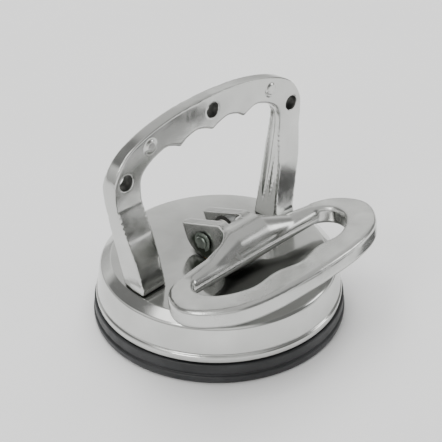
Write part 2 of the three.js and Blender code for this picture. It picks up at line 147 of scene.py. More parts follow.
SCREW_HEX = 5.0  # socket across flats
SCREW_SOCKET = 2.6
WIRE_R = 0.9
COIL_R = (17.0, 12.0)  # the spring's lowest and highest turn
COIL_TURNS = 3
COIL_FLAT = 0.12  # share of the wire that lies flat at each end
WIDE = 70.0  # a cutting tool's reach past everything sideways
HOLES = [(-50.6, 87.1), (0.0, 102.1), (50.6, 87.1)]
HOLE_R = 3.4
MARK_X, MARK_Z, MARK_R, MARK_H = 36.5, 99.0, 2.9, 0.8

GRIP_OUTER = [
    (0, GRIP_Z), (20, 108.3), (38, 104.4), (50, 98.7), (56.2, 90.5), (57.4, 82),
    (55.3, 66), (51.5, 48), (48.3, 32),
]
GRIP_INNER = [(35.3, 32), (37.6, 47), (40.6, 65), (42.8, 80), (41.2, 87.6), (35, 92.4)]
WIDE_GROOVE = [(35, 92.4), (28, 94.7), (23.5, 93.8), (19.4, 91.9)]
NARROW_GROOVE = [(19.4, 91.9), (15, 94.6), (9.5, 95.9), (4.5, 94.8), (0, 92.7)]
RING_OUTER = [
    (0, -62), (25, -60.8), (43, -56.2), (54, -47.5), (59.0, -38), (57, -28.5),
    (51, -21.5), (43, -18),
]
RING_WINDOW = [
    (0, -23.8), (26, -23.4), (38, -24.4), (43.5, -28.6), (44.5, -34), (41.5, -40.5),
    (34, -45.6), (26, -47.8), (13, -47), (0, -49.8),
]


# ---------------------------------------------------------------- outlines


def spline(points, steps, closed=False):
    """Points on a Catmull-Rom curve through the given points, steps to each stretch."""
    count = len(points)
    stretches = count if closed else count - 1
    line = []
    for i in range(stretches):
        near = range(i - 1, i + 3)
        near = [k % count if closed else min(max(k, 0), count - 1) for k in near]
        a, b, c, d = (Vector(points[k]) for k in near)
        for s in range(steps):
            t = s / steps
            line.append(0.5 * (
                2 * b
                + (c - a) * t
                + (2 * a - 5 * b + 4 * c - d) * t**2
                + (3 * b - a - 3 * c + d) * t**3
            ))
    if not closed:
        line.append(Vector(points[-1]))
    return line


def mirrored(half):
    """A closed outline from its right half, whose ends lie on x = 0 or face each other."""
    left = [Vector((-p.x, p.y)) for p in reversed(half) if abs(p.x) > 1e-6]
    return list(half) + left


def area(loop):
    return sum(a.x * b.y - b.x * a.y for a, b in zip(loop, loop[1:] + loop[:1])) / 2


def wound(loop, sign):
    """The loop turned so that its area has the wanted sign."""
    return loop if area(loop) * sign > 0 else loop[::-1]


def inset(loop, distance):
    """The loop moved to the left of its direction by an even distance."""
    moved = []
    for a, b, c in zip(loop[-1:] + loop[:-1], loop, loop[1:] + loop[:1]):
        way = (c - a).normalized()
        moved.append(b + Vector((-way.y, way.x)) * distance)
    return moved


def softened(profile, reach, steps=4):
    """An open profile with its corners rounded, each over at most the given reach."""
    line = [Vector(profile[0])]
    for a, b, c in zip(profile, profile[1:], profile[2:]):
        a, b, c = Vector(a), Vector(b), Vector(c)
        r = min(reach, (a - b).length * 0.45, (c - b).length * 0.45)
        start = b + (a - b).normalized() * r
        end = b + (c - b).normalized() * r
        for s in range(steps + 1):
            t = s / steps
            line.append(start * (1 - t) ** 2 + b * 2 * t * (1 - t) + end * t**2)
    line.append(Vector(profile[-1]))
    return line


def arc(centre, radius, start, end, steps):
    """Points on a circle's arc, angles in degrees."""
    x, y = centre
    angles = [math.radians(start + (end - start) * s / steps) for s in range(steps + 1)]
    return [Vector((x + radius * math.cos(a), y + radius * math.sin(a))) for a in angles]


def circle(sides):
    """Angles of a ring's evenly spaced points."""
    return [2 * math.pi * s / sides for s in range(sides)]


# ---------------------------------------------------------------- meshes


def new_object(name, bm):
    """A mesh object from a bmesh in mm, with its normals out."""
    bmesh.ops.remove_doubles(bm, verts=bm.verts, dist=1e-4)
    bmesh.ops.recalc_face_normals(bm, faces=bm.faces)
    bmesh.ops.scale(bm, vec=(MM, MM, MM), verts=bm.verts)
    mesh = bpy.data.meshes.new(name)
    bm.to_mesh(mesh)
    bm.free()
    obj = bpy.data.objects.new(name, mesh)
    bpy.context.scene.collection.objects.link(obj)
    return obj


def lathe(bm, profile, segments, matrix=None):
    """Adds a closed turned body to bm; profile points are (radius, height)."""
    columns = []
    for r, z in profile:
        if r < 1e-6:
            columns.append([bm.verts.new((0, 0, z))] * segments)
            continue
        rim = [(r * math.cos(a), r * math.sin(a), z) for a in circle(segments)]
        columns.append([bm.verts.new(p) for p in rim])
    closed = profile[0][0] > 1e-6
    pairs = list(zip(columns, columns[1:] + columns[:1] if closed else columns[1:]))
    for lower, upper in pairs:
        for s in range(segments):
            corners = [lower[s], lower[s - 1], upper[s - 1], upper[s]]
            face = list(dict.fromkeys(corners))
            if len(face) > 2:
                bm.faces.new(face)
    if matrix is not None:
        verts = list({v for column in columns for v in column})
        bmesh.ops.transform(bm, matrix=matrix, verts=verts)


def tube(bm, rings):
    """Adds a closed body to bm from its rings of vertices, first to last."""
    for lower, upper in zip(rings, rings[1:]):
        for s in range(len(lower)):
            bm.faces.new((lower[s - 1], lower[s], upper[s], upper[s - 1]))
    bm.faces.new(rings[0])
    bm.faces.new(rings[-1])


def slab(bm, outline, holes, depth, edge, matrix):
    """Adds a plate to bm: the outline from height 0 to depth, its edges rounded by edge."""
    loops = [wound(outline, 1)] + [wound(h, -1) for h in holes]
    levels = [(0.0, 0.0), (depth, 0.0)]
    if edge > 0:
        quarter = [math.radians(a) for a in (0, 22.5, 45, 67.5, 90)]
        down = [(edge * (1 - math.sin(a)), edge * (1 - math.cos(a))) for a in quarter]
        levels = down[::-1] + [(depth - z, i) for z, i in down]
    rows = []
    for z, shrink in levels:
        rows.append([[bm.verts.new((*p, z)) for p in inset(loop, shrink)] for loop in loops])
    for lower, upper in zip(rows, rows[1:]):
        for a, b in zip(lower, upper):
            for s in range(len(a)):
                bm.faces.new((a[s - 1], a[s], b[s], b[s - 1]))
    for row in (rows[0], rows[-1]):
        flat = [v for loop in row for v in loop]
        for corners in tessellate_polygon([[v.co for v in loop] for loop in row]):
            if len({flat[i] for i in corners}) == 3:
                bm.faces.new([flat[i] for i in corners])
    verts = [v for row in rows for loop in row for v in loop]
    bmesh.ops.transform(bm, matrix=matrix, verts=verts)


# Matrices that stand a plate drawn in x and y up in other planes
STAND_XZ = Matrix(((1, 0, 0, 0), (0, 0, 1, 0), (0, 1, 0, 0), (0, 0, 0, 1)))
STAND_YZ = Matrix(((0, 0, 1, 0), (1, 0, 0, 0), (0, 1, 0, 0), (0, 0, 0, 1)))
# And one that lays a turned piece along the hinge pin
ON_PIN = Matrix.Translation((0, 0, PIN_Z)) @ Matrix.Rotation(math.pi / 2, 4, "Y")


def plate_xz(bm, outline, y0, y1, holes=(), edge=0.0):
    slab(bm, outline, holes, y1 - y0, edge, Matrix.Translation((0, y0, 0)) @ STAND_XZ)


def plate_yz(bm, outline, x0, x1, edge=0.0):
    slab(bm, outline, (), x1 - x0, edge, Matrix.Translation((x0, 0, 0)) @ STAND_YZ)


def plate_xy(bm, outline, z0, z1, edge=0.0):
    slab(bm, outline, (), z1 - z0, edge, Matrix.Translation((0, 0, z0)))


def round_bar(bm, start, end, r0, r1, segments=64):
    """Adds a bar from start to end whose radius goes from r0 to r1."""
    start, end = Vector(start), Vector(end)
    turn = (end - start).to_track_quat("Z", "Y").to_matrix().to_4x4()
    length = (end - start).length
    profile = [(0, 0), (r0, 0), (r1, length), (0, length)]
    lathe(bm, profile, segments, Matrix.Translation(start) @ turn)


def applied(obj):
    """The object with its modifiers made part of its mesh."""
    evaluated = obj.evaluated_get(bpy.context.evaluated_depsgraph_get())
    mesh = bpy.data.meshes.new_from_object(evaluated)
    obj.modifiers.clear()
    obj.data = mesh
    return obj


def boolean(obj, tool, operation):
    """The object joined to, cut by or limited to the tool, which is removed."""
    cut = obj.modifiers.new("cut", "BOOLEAN")
    cut.operation = operation
    cut.solver = "EXACT"
    cut.use_self = True
    cut.object = tool
    applied(obj)
    bpy.data.objects.remove(tool)
    return obj


def remeshed(obj, voxel, smoothing):
    """The object as one even skin, its edges and inner corners rounded by smoothing."""
    skin = obj.modifiers.new("skin", "REMESH")
    skin.mode = "VOXEL"
    skin.voxel_size = voxel * MM
    ease = obj.modifiers.new("ease", "SMOOTH")
    ease.factor = 0.5
    ease.iterations = smoothing
    return applied(obj)


def shaded(obj, angle=35):
    """Smooth shading, with edges sharper than the angle kept."""
    bm = bmesh.new()
    bm.from_mesh(obj.data)
    for face in bm.faces:
        face.smooth = True
    for edge in bm.edges:
        edge.smooth = len(edge.link_faces) == 2 and edge.calc_face_angle(0) < math.radians(angle)
    bm.to_mesh(obj.data)
    bm.free()
    return obj


def finished(obj, node, body, material, angle=35):
    """The piece stands in for its CAD node, rides on its body and takes its material."""
    shaded(obj, angle)
    obj.data.materials.clear()
    obj.data.materials.append(material)
    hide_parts(node)
    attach(obj, body)
    return obj


def lined(obj, material, inside):
    """Gives the material to the faces whose middle, in mm, and normal pass the test."""
    obj.data.materials.append(material)
    for face in obj.data.polygons:
        if inside(face.center / MM, face.normal):
            face.material_index = len(obj.data.materials) - 1


def turned_piece(node, body, material, profile, at=(0, 0), segments=TURN, reach=0.3):
    """A turned piece from its closed half section."""
    ring = profile[0][0] > 0
    line = softened(profile + profile[:1] if ring else profile, reach)
    bm = bmesh.new()
    lathe(bm, line[:-1] if ring else line, segments, Matrix.Translation((*at, 0)))
    return finished(new_object("look_" + node, bm), node, body, material)


# ---------------------------------------------------------------- materials


def add_ramp(tree, source, stops):
    """A value or colour ramp; stops are (place, colour or grey)."""
    ramp = tree.nodes.new("ShaderNodeValToRGB")
    elements = ramp.color_ramp.elements
    while len(elements) < len(stops):
        elements.new(0.5)
    for element, (place, value) in zip(elements, stops):
        element.position = place
        element.color = (*value, 1) if isinstance(value, tuple) else (value,) * 3 + (1,)
    tree.links.new(source, ramp.inputs["Fac"])
    return ramp.outputs["Color"]


class Nodes:
    """Short calls for building a material's node tree."""

    def __init__(self, name):
        self.material = bpy.data.materials.new(name)
        self.material.use_nodes = True
        self.tree = self.material.node_tree
        self.shader = self.tree.nodes["Principled BSDF"]
        coordinates = self.add("ShaderNodeTexCoord")
        self.where = coordinates.outputs["Object"]
        self.normal = coordinates.outputs["Normal"]

    def add(self, kind, **values):
        node = self.tree.nodes.new(kind)
        for key, value in values.items():
            setattr(node, key, value)
        return node

    def link(self, source, target):
        self.tree.links.new(source, target)

    def feed(self, socket, source):
        """Drives one of the shader's own sockets."""
        self.link(source, self.shader.inputs[socket])

    def noise(self, scale, detail=2.0, stretch=(1, 1, 1), distortion=0.0):
        """Noise over the object's own coordinates; scale is in cells per metre."""
        mapping = self.add("ShaderNodeMapping")
        mapping.inputs["Scale"].default_value = stretch
        self.link(self.where, mapping.inputs["Vector"])
        texture = self.add("ShaderNodeTexNoise")
        texture.inputs["Scale"].default_value = scale
        texture.inputs["Detail"].default_value = detail
        texture.inputs["Distortion"].default_value = distortion
        self.link(mapping.outputs["Vector"], texture.inputs["Vector"])
        return texture.outputs["Fac"]

    def ramp(self, source, stops):
        return add_ramp(self.tree, source, stops)

    def crevice(self, reach, start, end):
        """1 deep in corners and bores, 0 on open faces; reach is in mm."""
        hollow = self.add("ShaderNodeAmbientOcclusion", samples=16)
        hollow.inputs["Distance"].default_value = reach * MM
        return self.ramp(hollow.outputs["AO"], [(start, 1.0), (end, 0.0)])

    def underside(self, full, none):
        """1 where the surface faces down, 0 elsewhere; the limits are the normal's height."""
        split = self.add("ShaderNodeSeparateXYZ")
        self.link(self.normal, split.inputs[0])
        half = self.add("ShaderNodeMath", operation="MULTIPLY_ADD")
        half.inputs[1].default_value = 0.5
        half.inputs[2].default_value = 0.5
        self.link(split.outputs["Z"], half.inputs[0])
        return self.ramp(half.outputs["Value"], [((full + 1) / 2, 1.0), ((none + 1) / 2, 0.0)])

    def ragged_band(self, y, z, reach, ragged):
        """1 near the line along X through y and z, fading out unevenly at reach, all in mm."""
        flat = self.add("ShaderNodeVectorMath", operation="MULTIPLY")
        flat.inputs[1].default_value = (0, 1, 1)
        self.link(self.where, flat.inputs[0])
        away = self.add("ShaderNodeVectorMath", operation="DISTANCE")
        away.inputs[1].default_value = (0, y * MM, z * MM)
        self.link(flat.outputs["Vector"], away.inputs[0])
        wobble = self.add("ShaderNodeMath", operation="MULTIPLY_ADD")
        wobble.inputs[1].default_value = ragged * MM
        self.link(self.noise(260, 4), wobble.inputs[0])
        self.link(away.outputs["Value"], wobble.inputs[2])
        share = self.add("ShaderNodeMath", operation="DIVIDE")
        share.inputs[1].default_value = (reach + ragged / 2) * MM
        self.link(wobble.outputs["Value"], share.inputs[0])
        return self.ramp(share.outputs["Value"], [(0.7, 1.0), (1.0, 0.0)])

    def mixed(self, factor, base, over):
        """A socket covered by a plain colour as the factor goes to 1."""
        mix = self.add("ShaderNodeMix", data_type="RGBA")
        self.link(factor, mix.inputs["Factor"])
        self.link(base, mix.inputs["A"])
        mix.inputs["B"].default_value = (*over, 1)
        return mix.outputs["Result"]

    def bump(self, height, distance, strength=1.0, after=None):
        """A bump of the given depth in mm, laid over an earlier one."""
        bump = self.add("ShaderNodeBump")
        bump.inputs["Distance"].default_value = distance * MM
        bump.inputs["Strength"].default_value = strength
        self.link(height, bump.inputs["Height"])
        if after is not None:
            self.link(after, bump.inputs["Normal"])
        return bump.outputs["Normal"]


def polished_aluminium(name, grain, gloss, shade_reach=3.5, dark_by_pin=False, shade_below=False):
    """Hand-polished casting: soft waves, fine buffing marks along grain, duller patches.

    Painted shade darkens corners and bores within its reach in mm, and downward faces when asked
    for; a painted dark reflection can lie on the cheeks round the hinge pin.
    """
    n = Nodes(name)
    n.shader.inputs["Metallic"].default_value = 1.0
    tone = n.noise(38, 4, distortion=0.4)
    bare_tone = n.ramp(tone, [(0.3, (0.52, 0.525, 0.51)), (0.7, (0.64, 0.645, 0.63))])
    # Painted shade: ambient occlusion makes corners and bores darker and duller
    corner_shade = n.crevice(shade_reach, 0.35, 0.8)
    tint = n.mixed(corner_shade, bare_tone, (0.07, 0.075, 0.065))
    patches = n.noise(85, 5, distortion=0.6)
    sheen = n.ramp(patches, [(0.32, gloss), (0.72, gloss + 0.15)])
    rough = n.mixed(corner_shade, sheen, (0.5, 0.5, 0.5))
    # Painted shade: faces that look down are darkened and made rougher
    if shade_below:
        underside_shade = n.underside(-0.3, 0.02)
        tint = n.mixed(underside_shade, tint, (0.26, 0.263, 0.255))
        rough = n.mixed(underside_shade, rough, (0.42, 0.42, 0.42))
    # Painted dark reflection: a ragged, darker and duller band on the cheeks round the hinge pin
    if dark_by_pin:
        pin_dark_reflection = n.ragged_band(1.5, PIN_Z - 3, 9, 7)
        tint = n.mixed(pin_dark_reflection, tint, (0.05, 0.06, 0.045))
        rough = n.mixed(pin_dark_reflection, rough, (0.4, 0.4, 0.4))
    n.feed("Base Color", tint)
    n.feed("Roughness", rough)
    waves = n.bump(n.noise(70, 2), 0.12, 0.5)
    marks = n.bump(n.noise(900, 3, stretch=grain), 0.012, 0.35, waves)
    pits = n.bump(n.ramp(n.noise(1500, 1), [(0.22, 0.0), (0.3, 1.0)]), 0.02, 0.3, marks)
    n.feed("Normal", pits)
    return n.material


def shaded_bore_skin():
    """Painted shade in the drilled and cored holes: near-black colour over an unpolished casting
    skin.
    """
    n = Nodes("shaded_bore_skin")
    n.shader.inputs["Metallic"].default_value = 1.0
    tones = [(0.3, (0.05, 0.052, 0.048)), (0.75, (0.16, 0.16, 0.15))]
    n.feed("Base Color", n.ramp(n.noise(320, 4), tones))
    n.feed("Roughness", n.ramp(n.noise(500, 3), [(0.3, 0.45), (0.75, 0.65)]))
    n.feed("Normal", n.bump(n.noise(1300, 3), 0.06, 0.6))
    return n.material


def satin_rubber():
    """Moulded black rubber with a faint bloom and fine grain."""
    n = Nodes("black_rubber")
    bloom = n.noise(60, 5, distortion=0.5)
    tones = [(0.35, (0.012, 0.0125, 0.0135)), (0.75, (0.03, 0.031, 0.033))]
    n.feed("Base Color", n.ramp(bloom, tones))
    n.feed("Roughness", n.ramp(n.noise(140, 4), [(0.3, 0.38), (0.75, 0.58)]))
    grain = n.bump(n.noise(2200, 2), 0.02, 0.4)
    n.feed("Normal", n.bump(n.noise(90, 2), 0.1, 0.35, grain))
    return n.material


def turned_metal(name, dark, light, rough, stretch=(0.05, 0.05, 1), ring_scale=1400):
    """Machined metal with fine tool rings and patchy tarnish."""
    n = Nodes(name)
    n.shader.inputs["Metallic"].default_value = 1.0
    n.feed("Base Color", n.ramp(n.noise(170, 4), [(0.3, dark), (0.75, light)]))
    n.feed("Roughness", n.ramp(n.noise(420, 3), [(0.3, rough - 0.08), (0.75, rough + 0.12)]))
    rings = n.noise(ring_scale, 2, stretch=stretch)
    n.feed("Normal", n.bump(rings, 0.02, 0.4))
    return n.material


def moulded_nylon():
    """Off-white moulded washer plastic."""
    n = Nodes("white_nylon")
    tones = [(0.3, (0.72, 0.71, 0.66)), (0.7, (0.84, 0.83, 0.79))]
    n.feed("Base Color", n.ramp(n.noise(260, 3), tones))
    n.feed("Roughness", n.ramp(n.noise(500, 2), [(0.3, 0.4), (0.7, 0.55)]))
    n.feed("Normal", n.bump(n.noise(1800, 2), 0.015, 0.3))
    return n.material


MAT_BODY = polished_aluminium("polished_body", (0.25, 0.25, 1.6), 0.05, shade_below=True)
# The handle's painted corner shade reaches 9 mm, so the legs darken near the deck
MAT_HANDLE = polished_aluminium("polished_handle", (1.0, 1.0, 0.12), 0.1, shade_reach=9)
MAT_LEVER = polished_aluminium(
    "polished_lever", (0.3, 1.0, 1.0), 0.16, dark_by_pin=True, shade_below=True
)
MAT_BORE_SHADE = shaded_bore_skin()
MAT_RUBBER = satin_rubber()
MAT_STEEL = turned_metal("turned_steel", (0.4, 0.405, 0.41), (0.6, 0.605, 0.61), 0.3)
MAT_GREASED = turned_metal("greased_steel", (0.08, 0.1, 0.08), (0.42, 0.46, 0.42), 0.3)
MAT_BLACK = turned_metal("black_oxide", (0.03, 0.03, 0.033), (0.075, 0.075, 0.08), 0.42)
MAT_BRONZE = turned_metal(
    "sintered_bronze", (0.42, 0.29, 0.14), (0.62, 0.46, 0.25), 0.38, (1, 1, 1), 900
)
MAT_NYLON = moulded_nylon()


# ---------------------------------------------------------------- pad and body


def make_pad():
    """Rubber disc with a double-lipped edge, two sealing grooves and a plate recess."""
    grooves = []
    for r in (46, 51.5):
        grooves += [(r, 0), (r + 0.4, 0.8), (r + 1.8, 0.8), (r + 2.2, 0)]
    turned_piece("rubber_pad", "base", MAT_RUBBER, [
        (0, 0), *grooves, (57.2, 0), (58.5, 0.6), (PAD_R, 2), (PAD_R, 4), (57.9, 4.4),
        (57.9, 5.2), (58.5, 5.6), (58.3, 9.6), (57.9, PAD_RIM_Z), (RECESS_R + 1.2, PAD_RIM_Z),
        (RECESS_R, RECESS_Z), (0, RECESS_Z),
    ], reach=0.5, segments=TURN + 64)


def make_body():
    """Dished casting: beaded foot, conical skirt, chamfered deck, ribs and boss below."""
    inner = SKIRT_TOP[0] - 4.4
    hole = BUSH_BODY_R + CLEAR
    profile = [
        (hole, BOSS_Z), (BOSS_R, BOSS_Z), (BOSS_R + 0.6, DECK_UNDER_Z), (inner - 1, DECK_UNDER_Z),
        (inner, DECK_UNDER_Z - 1), (53, BODY_FOOT_Z), (BODY_R - 0.4, BODY_FOOT_Z),
        (BODY_R, BODY_FOOT_Z + 0.6), (BODY_R, 13.3), (56.5, 14), (56.3, 14.3), (56.7, 14.8),
        SKIRT_TOP, (54.3, 27.4), (DECK_R + 0.8, DECK_Z - 0.5), (DECK_R, DECK_Z), (hole, DECK_Z),
    ]
    line = softened(profile + profile[:1], 0.9)
    bm = bmesh.new()
    lathe(bm, line[:-1], TURN + 64)
    body = new_object("look_body_casting", bm)
    bm = bmesh.new()
    near, far = BOSS_R - 1, inner + 1
    rib = [(near, RIB_Z[0]), (far, RIB_Z[0]), (far, RIB_Z[1]), (near, RIB_Z[1])]
    for i in range(RIB_COUNT):
        turn = Matrix.Rotation((i + 0.5) * 2 * math.pi / RIB_COUNT, 4, "Z")
        stand = turn @ Matrix.Translation((0, -RIB_T / 2, 0)) @ STAND_XZ
        slab(bm, [Vector(p) for p in rib], (), RIB_T, 0.0, stand)
    boolean(body, new_object("ribs", bm), "UNION")
    bm = bmesh.new()
    for side in (-1, 1):
        place = (side * SCREW_X, SCREW_Y)
        round_bar(bm, (*place, 15), (*place, 35), SCREW_PASS_R, SCREW_PASS_R, 48)
    boolean(body, new_object("holes", bm), "DIFFERENCE")
    finished(body, "body_casting", "base", MAT_BODY)


# ---------------------------------------------------------------- handle


def handle_outline():
    """Whole outline of the handle, arch and legs, with the finger opening between them."""
    fingers = spline(WIDE_GROOVE, 7)[1:] + spline(NARROW_GROOVE, 7)[1:]
    sole = [Vector((LEG_OUT, FOOT_Z)), Vector((LEG_IN, FOOT_Z))]
    return mirrored(spline(GRIP_OUTER, 10) + sole + spline(GRIP_INNER, 8) + fingers)


def leg_side():
    """Side profile, front and back: a plain web above, legs that thicken below the crease."""
    top = GRIP_Z + 5
    front = [
        (GRIP_FRONT, top), (GRIP_FRONT, CREASE_Z), (-0.6, 60), (-1.9, 45), (FOOT_FRONT, FOOT_Z)
    ]
    back = [
        (FOOT_BACK, FOOT_Z), (10.2, 45), (9.6, 60), (9.0, CREASE_Z), (GRIP_BACK, CREASE_Z + 9)
    ]
    return [Vector(p) for p in front] + spline(back, 6) + [Vector((GRIP_BACK, top))]


def shoulder_rim(side):
    """Raised edge behind a shoulder, as a crescent that follows the outside."""
    outer = [Vector((x - 0.2, z - 0.2)) for x, z in GRIP_OUTER[2:8]]
    inner = [(50.8, 55), (51.6, 66), (52, 82), (50.6, 88.6), (46, 94.6), (36, 100.6)]
    line = spline(outer, 8) + spline(inner, 6)
    return [Vector((side * p.x, p.y)) for p in line]


def flute(bm, side, y, radius, z_range):
    """Adds a round cutter along a leg's inner face that fades out at both heights."""
    line = [p for p in spline(GRIP_INNER, 12) if z_range[0] < p.y < z_range[1]]
    inward = 0.6
    rings = []
    for i, p in enumerate(line):
        fade = math.sin(math.pi * i / (len(line) - 1)) ** 0.4
        r = max(radius * fade, 0.05)
        ring = []
        for a in circle(20):
            x = p.x - inward + r * math.cos(a)
            ring.append(bm.verts.new((side * x, y + r * math.sin(a), p.y)))
        rings.append(ring)
    tube(bm, rings)


def make_handle():
    """Arch and legs where two outlines cross, with rims, lips and marks, then the bores."""
    bm = bmesh.new()
    plate_xz(bm, handle_outline(), -5, 14)
    handle = new_object("look_handle_casting", bm)
    bm = bmesh.new()
    plate_yz(bm, leg_side(), -WIDE, WIDE)
    boolean(handle, new_object("side", bm), "INTERSECT")

    bm = bmesh.new()
    top = GRIP_BACK + RIM_T
    for side in (-1, 1):
        plate_xz(bm, shoulder_rim(side), GRIP_BACK - 1, top)
    rims = new_object("rims", bm)
    bm = bmesh.new()
    slope = [(0, 58), (GRIP_BACK, 62), (top, 76), (top, 86), (GRIP_BACK, 101), (0, 104)]
    plate_yz(bm, [Vector(p) for p in slope], -WIDE, WIDE)
    boolean(rims, new_object("slope", bm), "INTERSECT")

    bm = bmesh.new()
    bm.from_mesh(handle.data)
    bm.from_mesh(rims.data)
    bpy.data.objects.remove(rims)
    bmesh.ops.scale(bm, vec=(1 / MM,) * 3, verts=bm.verts)
    lip = arc((0, 0), LIP_R, -3, 12.5, 10)
    lip += [Vector((LEG_IN + 1, FOOT_BACK)), Vector((LEG_IN + 1, FOOT_FRONT))]
    for side in (-1, 1):
        plate_xy(bm, [Vector((side * p.x, p.y)) for p in lip], FOOT_Z, FOOT_Z + LIP_T)
        x = side * MARK_X
        root, face = (x, GRIP_FRONT + 1, MARK_Z), (x, GRIP_FRONT - MARK_H, MARK_Z)
        round_bar(bm, root, face, MARK_R, MARK_R - 0.3)
    joined = new_object("joined", bm)
    handle.data = joined.data
    bpy.data.objects.remove(joined)
    remeshed(handle, VOXEL, 2)

    bm = bmesh.new()
    for x, z in HOLES:
        round_bar(bm, (x, -20, z), (x, 30, z), HOLE_R, HOLE_R)
    for side in (-1, 1):
        place = (side * SCREW_X, SCREW_Y)
        round_bar(bm, (*place, 20), (*place, 44), SCREW_BORE_R, SCREW_BORE_R, 48)
        flute(bm, side, 6.4, 1.9, (37, 89))
        flute(bm, side, 2.4, 1.1, (37, 70))
    boolean(handle, new_object("bores", bm), "DIFFERENCE")
    remeshed(handle, VOXEL, 7)
    finished(handle, "handle_casting", "base", MAT_HANDLE, 80)

    def in_bore(middle, normal):
        around = [Vector((middle.x - x, 0, middle.z - z)) for x, z in HOLES]
        near = min(around, key=lambda way: way.length)
        return near.length < HOLE_R + 0.25 and abs(normal.y) < 0.6

    # Painted shade: the bore faces take the near-black bore material
    lined(handle, MAT_BORE_SHADE, in_bore)


# ---------------------------------------------------------------- lever


def cheek_outline():
    """Cam cheek in y and z: a spiral underside that climbs as the lever swings."""
    rest = PIN_Z - DECK_Z - CLEAR
    slope = LIFT / SWING
    steps = 16
    cam = []
    for i in range(steps + 1):
        turn = SWING * i / steps
        reach = rest + slope * turn
        cam.append((
            reach * math.sin(turn) + slope * math.cos(turn),
            PIN_Z - reach * math.cos(turn) + slope * math.sin(turn),
        ))
    back = [(14.8, PIN_Z + 4.2), (-9.5, PIN_Z + 12.8), (-14, PIN_Z + 12)]
    return [Vector(p) for p in [(-12, PIN_Z - 6), (-4, PIN_Z - rest), *cam, *back]]


def double_taper(bm, inner, inner_r, outer, outer_r):
    """Adds a bar with a cone at each end, the same on both sides of x = 0."""
    rims = []
    for side in (-1, 1):
        for (x, y, z), r in ((inner, inner_r), (outer, outer_r)):
            rims += [bm.verts.new((side * x, p.x, p.y)) for p in arc((y, z), r, 0, 355, 71)]
    hull = bmesh.ops.convex_hull(bm, input=rims)
    spare = hull["geom_interior"] + hull["geom_unused"]
    spare = list({v for v in spare if isinstance(v, bmesh.types.BMVert)})
    bmesh.ops.delete(bm, geom=spare, context="VERTS")


def scoop_outline(side):
    """Room beside a cheek: a round inner corner that runs out along the back of the beam."""
    corner = CHEEK_OUT + SCOOP_R
    far_y = 30
    line = [Vector((CHEEK_OUT, far_y))] + arc((corner, SCOOP_Y), SCOOP_R, 180, 270, 24)
    line += [Vector((WIDE, SCOOP_Y - SCOOP_R)), Vector((WIDE, far_y))]
    return [Vector((side * p.x, p.y)) for p in line]


def make_lever():
    """Ring, tapering rear beam with its thick middle, and the two cam cheeks, in one casting."""
    bm = bmesh.new()
    ring = Matrix.Translation((0, 0, RING_Z)) @ Matrix.Rotation(-RING_TILT, 4, "X")
    outline = mirrored(spline(RING_OUTER, 10))
    other_half = [(-x, y) for x, y in RING_WINDOW[-2:0:-1]]
    window = spline(RING_WINDOW + other_half, 8, closed=True)
    slab(bm, outline, [window], RING_T, RING_EDGE, ring @ Matrix.Translation((0, 0, -RING_T)))
    double_taper(bm, HUB, HUB_R, BEAM_START, BEAM_START_R)
    double_taper(bm, BEAM_START, BEAM_START_R, BEAM_END, BEAM_END_R)
    for x in (-CHEEK_OUT, CHEEK_IN):
        plate_yz(bm, cheek_outline(), x, x + CHEEK_OUT - CHEEK_IN)
    lever = remeshed(new_object("look_lever_casting", bm), VOXEL, 3)

    bm = bmesh.new()
    round_bar(bm, (-20, 0, PIN_Z), (20, 0, PIN_Z), PIN_HOLE_R, PIN_HOLE_R)
    round_bar(bm, (-CHEEK_IN, 0, PIN_Z), (CHEEK_IN, 0, PIN_Z), POCKET_R, POCKET_R, 96)
    front, back, below = -5.5, 20, 25  # room for the stud under the pin
    room = [(front, below), (back, below), (back, PIN_Z), (front, PIN_Z)]
    plate_yz(bm, [Vector(p) for p in room], -CHEEK_IN, CHEEK_IN)
    for side in (-1, 1):
        plate_xy(bm, scoop_outline(side), 20, 60)
    boolean(lever, new_object("cuts", bm), "DIFFERENCE")
    remeshed(lever, VOXEL, 6)
    finished(lever, "lever_casting", "lever", MAT_LEVER, 80)

    def in_pocket(middle, normal):
        away = math.hypot(middle.y, middle.z - PIN_Z)
        return away < POCKET_R + 0.3 and abs(middle.x) < CHEEK_IN + 0.3

    # Painted shade: the eye pocket between the cheeks takes the near-black bore material
    lined(lever, MAT_BORE_SHADE, in_pocket)


# ---------------------------------------------------------------- stud group and fasteners


def make_stud():
    """Stud with a flat-sided eye: a turned shank milled flat towards its top."""
    shoulder = DECK_Z - LIFT
    bm = bmesh.new()
    shank = [
        (0, STUD_Z[0]), (STUD_R - 0.5, STUD_Z[0]), (STUD_R, STUD_Z[0] + 0.5),
        (STUD_R, shoulder - 0.3), (STUD_R - 0.3, shoulder), (0, shoulder),
    ]
    lathe(bm, shank, 96)
    stud = new_object("look_centre_stud", bm)
    bm = bmesh.new()
    eye = arc((0, PIN_Z), EYE_R, -60, 240, 60)
    neck = 3.6
    foot = [Vector((-neck, shoulder - 1)), Vector((neck, shoulder - 1))]
    plate_yz(bm, eye + foot, -EYE_HALF, EYE_HALF, edge=0.4)
    boolean(stud, new_object("eye", bm), "UNION")
    bm = bmesh.new()
    round_bar(bm, (-9, 0, PIN_Z), (9, 0, PIN_Z), PIN_HOLE_R, PIN_HOLE_R)
    boolean(stud, new_object("bore", bm), "DIFFERENCE")
    finished(stud, "centre_stud", "stud", MAT_STEEL)


def make_pin():
    """Hinge pin with chamfered ends and a groove for each clip."""
    clip = (low("pin_clip_right").x - 0.2, high("pin_clip_right").x + 0.2)
    half = [
        (0, PIN_HALF), (PIN_R - 0.4, PIN_HALF), (PIN_R, PIN_HALF - 0.4), (PIN_R, clip[1]),
        (PIN_GROOVE_R, clip[1]), (PIN_GROOVE_R, clip[0]), (PIN_R, clip[0]),
    ]
    profile = [(r, -x) for r, x in half] + half[::-1]
    bm = bmesh.new()
    lathe(bm, profile, 64, ON_PIN)
    finished(new_object("look_hinge_pin", bm), "hinge_pin", "stud", MAT_GREASED)


